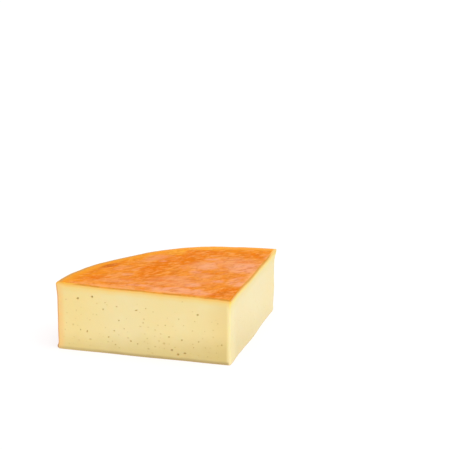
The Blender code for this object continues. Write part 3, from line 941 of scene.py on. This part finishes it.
# patches of the rind, by their colour: (strength, x, y, length, width in mm, heading in degrees)
patches = {
    "fade": (0.2, 1.15),  # full and gone, as shares of half a patch's length and width
    "deep": (
        (3.5, -145, 69, 30, 14, 56), (1.5, -96, 76, 100, 32, 82), (0.7, -160, 42, 40, 18, 70),
        (0.8, -112, 28, 26, 14, 15), (0.5, -24, 44, 30, 20, 60), (1.8, -9, 16, 50, 26, 62),
        (0.9, -16, 142, 64, 30, 0), (1.4, -73, 115, 58, 36, 40), (0.9, -58, 138, 54, 20, 0),
        (0.7, -36, 70, 26, 12, 20), (1.5, -74, 98, 38, 26, 40), (1.3, -72, 134, 32, 18, 10),
        (1.3, -141, 26, 32, 20, 20), (1.0, -17, 118, 30, 16, 10), (1.2, -90, 40, 36, 14, 15),
        (1.0, -78, 33, 46, 15, 6),
    ),
    # partly a painted sheen of the moist rind
    "salmonSheen": (
        (0.9, -54, 92, 40, 36, 20), (0.8, -66, 34, 90, 46, 8), (0.6, -122, 22, 50, 24, 8),
        (1.0, -24, 112, 60, 50, 10), (0.4, -132, 62, 30, 20, 40), (0.8, -106, 106, 46, 26, 60),
        (0.7, -44, 62, 30, 30, 20),
    ),
    # a painted sheen of the moist rind
    "pinkSheen": (
        (0.9, -46, 90, 30, 34, 8), (1.8, -10, 95, 48, 40, 14), (0.9, -10, 54, 44, 18, 80),
        (1.5, -50, 9, 90, 22, 2), (1.0, -94, 13, 40, 12, 4), (0.6, -118, 8, 50, 8, 2),
        (0.4, -128, 36, 16, 12, 10), (0.6, -30, 84, 24, 14, 10), (1.2, -117, 45, 18, 16, 10),
        (1.2, -2, 48, 32, 14, 82), (1.2, -44, 27, 24, 15, 5), (1.9, -62, 10, 22, 13, 0),
        (0.9, -54, 70, 22, 14, 20), (0.9, -24, 47, 20, 16, 20), (1.2, -5, 106, 18, 14, 10),
        (0.95, -50, 116, 30, 13, 8), (0.9, -97, 96, 16, 14, 30),
    ),
    "light": ((1.4, -92, 130, 34, 24, 30), (1.9, -64, 154, 44, 16, 20)),
}


# patchTones: a kind's strength at each point, the greatest of its patches, each a smooth ellipse
def patchTones(points, kind):
    x, y, _ = points.T
    tones = np.zeros(len(points))
    for strength, across, along, length, width, heading in patches[kind]:
        u, v = turned(x - mm * across, y - mm * along, heading)
        distance = np.hypot(u / (0.5 * mm * length), v / (0.5 * mm * width))
        tones = np.maximum(tones, strength * (1.0 - ease(distance, *patches["fade"])))
    return tones


# cheeseQuarter: the closed surface less the eyes, carried to the CAD node's place
def cheeseQuarter():
    materials = [rindMaterial(), pasteMaterial()]
    body = addObject("cheeseQuarter", newMesh("cheeseQuarter", *cheeseSurface()), materials)
    holes = addObject("eyeHoles", newMesh("eyeHoles", *eyeShells()), materials)

    boolean = body.modifiers.new("eyes", "BOOLEAN")
    boolean.operation = "DIFFERENCE"
    boolean.solver = "MANIFOLD"
    boolean.object = holes
    graph = bpy.context.evaluated_depsgraph_get()
    finished = bpy.data.meshes.new_from_object(body.evaluated_get(graph))
    body.modifiers.clear()
    body.data = finished
    bpy.data.objects.remove(holes)

    flat = np.empty(3 * len(finished.vertices), dtype=np.float32)
    finished.vertices.foreach_get("co", flat)
    points = flat.reshape(-1, 3).astype(np.float64)
    crust, behind = crustDepths(points), cutDepths(points)
    tones = np.stack([patchTones(points, kind) for kind in ("salmonSheen", "deep", "pinkSheen")], axis=-1)
    fields = {"crust": crust, "behind": behind, "tones": tones}
    fields.update(light=patchTones(points, "light"), eyeDepth=eyeDepths(crust, behind))
    for name, values in fields.items():
        kind, field = ("FLOAT", "value") if values.ndim == 1 else ("FLOAT_VECTOR", "vector")
        data = finished.attributes.new(name, kind, "POINT").data
        data.foreach_set(field, values.astype(np.float32).ravel())

    low, high = points.min(axis=0), points.max(axis=0)
    place = 0.5 * (np.array(nodeLow) + np.array(nodeHigh)) - 0.5 * (low + high)
    place[2] = nodeLow.z - low[2]
    finished.vertices.foreach_set("co", (points + place).astype(np.float32).ravel())
    finished.update()
    finished.shade_smooth()
    finished.set_sharp_from_angle(angle=math.radians(mesh["sharpAngle"]))
    print("cheese quarter:", len(finished.polygons), "faces, wheel axis at", np.round(1000 * place, 2), "mm")
    return body, place


cheese, axisPlace = cheeseQuarter()
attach(cheese, "root")
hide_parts("cheese_quarter")


studio = {
    "floorSize": 30.0,
    "floor": {
        "Base Color": (0.29, 0.29, 0.29, 1.0),
        "Roughness": 0.9,
        "Specular IOR Level": 0.1,
        "Emission Color": white,
        "Emission Strength": 0.72,  # lit from below too, as a light table, so that shadows stay faint
    },
    "dome": 0.74,
    "backdrop": 1.0,
    "sunFrom": (0.34, -0.22, 0.91),  # where the softened sun stands, from the cheese
    "sunStrength": 1.22,
    "sunAngle": 60.0,
}


# addDome: the camera sees a plain white backdrop, the light comes from an even soft dome
def addDome():
    world = bpy.data.worlds.new("softDome")
    scene.world = world
    world.use_nodes = True
    tree = world.node_tree
    tree.nodes.clear()
    inputs = {0: put(tree, "ShaderNodeLightPath").outputs["Is Camera Ray"]}
    for number, name in ((1, "dome"), (2, "backdrop")):
        light = put(tree, "ShaderNodeBackground", {"Color": white, "Strength": studio[name]})
        inputs[number] = light.outputs[0]
    put(tree, "ShaderNodeOutputWorld", {0: put(tree, "ShaderNodeMixShader", inputs).outputs[0]})


# addFloor: one large pale square
def addFloor():
    data = bpy.data.meshes.new("floor")
    half = 0.5 * studio["floorSize"]
    corners = [(-half, -half, 0), (half, -half, 0), (half, half, 0), (-half, half, 0)]
    data.from_pydata(corners, [], [(0, 1, 2, 3)])
    mat, tree, shader, _ = newMaterial("paleFloor")
    connect(tree, shader, studio["floor"])
    addObject("floor", data, [mat])


# addSun: one soft light, turned to shine from where it stands
def addSun():
    data = bpy.data.lights.new("softSun", "SUN")
    data.energy = studio["sunStrength"]
    data.angle = math.radians(studio["sunAngle"])
    turn = Vector(studio["sunFrom"]).to_track_quat("Z", "Y").to_euler()
    addObject("softSun", data).rotation_euler = turn


camera = {
    "fromTip": (0.36, -1.2771, 0.495),  # from the foot of the tip's edge
    "azimuth": 15.9,
    "downward": 15.01,
    "lens": 117.84,
    "sensor": 36.0,
    "reach": 100.0,
}


# addCamera: a level camera that looks down at the tip from the photo's side
def addCamera():
    data = bpy.data.cameras.new("photoCamera")
    data.lens = camera["lens"]
    data.sensor_width = camera["sensor"]
    data.clip_end = camera["reach"]
    obj = addObject("photoCamera", data)
    obj.location = np.array(camera["fromTip"]) + axisPlace
    obj.rotation_euler = (math.radians(90.0 - camera["downward"]), 0.0, math.radians(camera["azimuth"]))
    scene.camera = obj


addDome()
addFloor()
addSun()
addCamera()
scene.view_settings.view_transform = "Standard"
print("studio: floor, dome, sun and camera")
